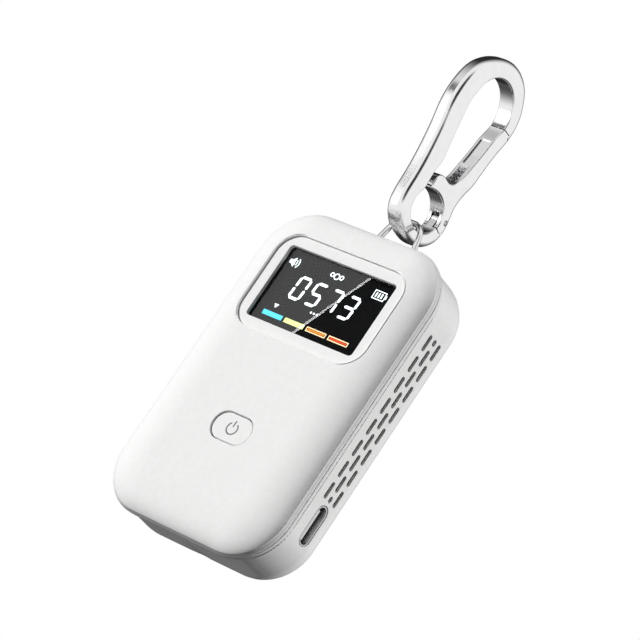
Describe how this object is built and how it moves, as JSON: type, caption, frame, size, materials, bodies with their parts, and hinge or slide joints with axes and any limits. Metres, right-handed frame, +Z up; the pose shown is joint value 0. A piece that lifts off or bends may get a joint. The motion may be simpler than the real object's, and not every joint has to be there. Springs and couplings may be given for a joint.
{
  "type": "air quality monitor",
  "caption": "Keychain air quality monitor: white rounded case with a sunken colour display, a power key, vented sides and a charging socket, hanging by a wire bail from a spring-gate clip.",
  "frame": {"origin": "top of the inside of the clip's hook, on its middle plane, where the monitor hangs from a bar or strap", "axes": "+Z up the case towards the clip, -Y the way the display faces, +X the side with the charging socket"},
  "size_m": [0.0462, 0.0218, 0.1187],
  "materials": {
    "white_case": "satin",
    "trim_plastic": "satin",
    "key_plastic": "satin",
    "window_glass": "polished",
    "display": "polished",
    "tray_plastic": "matte",
    "adhesive": "matte",
    "flex_film": "satin",
    "connector_plastic": "matte",
    "black_plastic": "matte",
    "switch_metal": "satin",
    "screw_steel": "satin",
    "board_laminate": "satin",
    "sensor_can": "satin",
    "membrane": "matte",
    "passive_ceramic": "matte",
    "usb_steel": "satin",
    "cell_foil": "satin",
    "foam": "matte",
    "lead_wire": "satin",
    "mesh": "matte",
    "bail_steel": "polished",
    "clip_chrome": "polished",
    "pin_steel": "satin"
  },
  "bodies": {
    "clip": {"clip_frame": "clip_chrome"},
    "housing": {"front_cover": "white_case", "window_adhesive": "adhesive", "display_window": "window_glass", "display_panel": "display", "display_tray": "tray_plastic", "display_flex": "flex_film", "display_connector": "connector_plastic", "tact_switch": "switch_metal", "trim_ring": "trim_plastic", "back_shell": "white_case", "case_screws": "screw_steel", "main_board": "board_laminate", "co2_sensor": "sensor_can", "sensor_membrane": "membrane", "controller_chip": "black_plastic", "charger_chip": "black_plastic", "board_passives": "passive_ceramic", "buzzer": "black_plastic", "usb_shell": "usb_steel", "usb_tongue": "black_plastic", "battery": "cell_foil", "battery_pad": "foam", "battery_leads": "lead_wire", "battery_connector": "connector_plastic", "vent_mesh_right": "mesh", "vent_mesh_left": "mesh", "bail": "bail_steel", "bail_retainer": "pin_steel"},
    "gate": {"clip_gate": "clip_chrome", "gate_pin": "pin_steel", "gate_spring": "pin_steel", "gate_plunger": "pin_steel"},
    "button": {"power_button": "key_plastic", "switch_plunger": "black_plastic"}
  },
  "joints": [
    {"name": "housing_swing", "type": "hinge", "parent": "clip", "child": "housing", "pos_m": [0, 0, -0.03495], "axis": [1, 0, 0], "range_deg": [-60, 60]},
    {"name": "gate_hinge", "type": "hinge", "parent": "clip", "child": "gate", "pos_m": [0, 0.0067, -0.03], "axis": [1, 0, 0], "range_deg": [0, 18], "stiffness_Nm_per_rad": 0.06},
    {"name": "power_button", "type": "slide", "parent": "housing", "child": "button", "axis": [0, 1, 0], "range_m": [0, 0.0004], "stiffness_N_per_m": 4000}
  ]
}
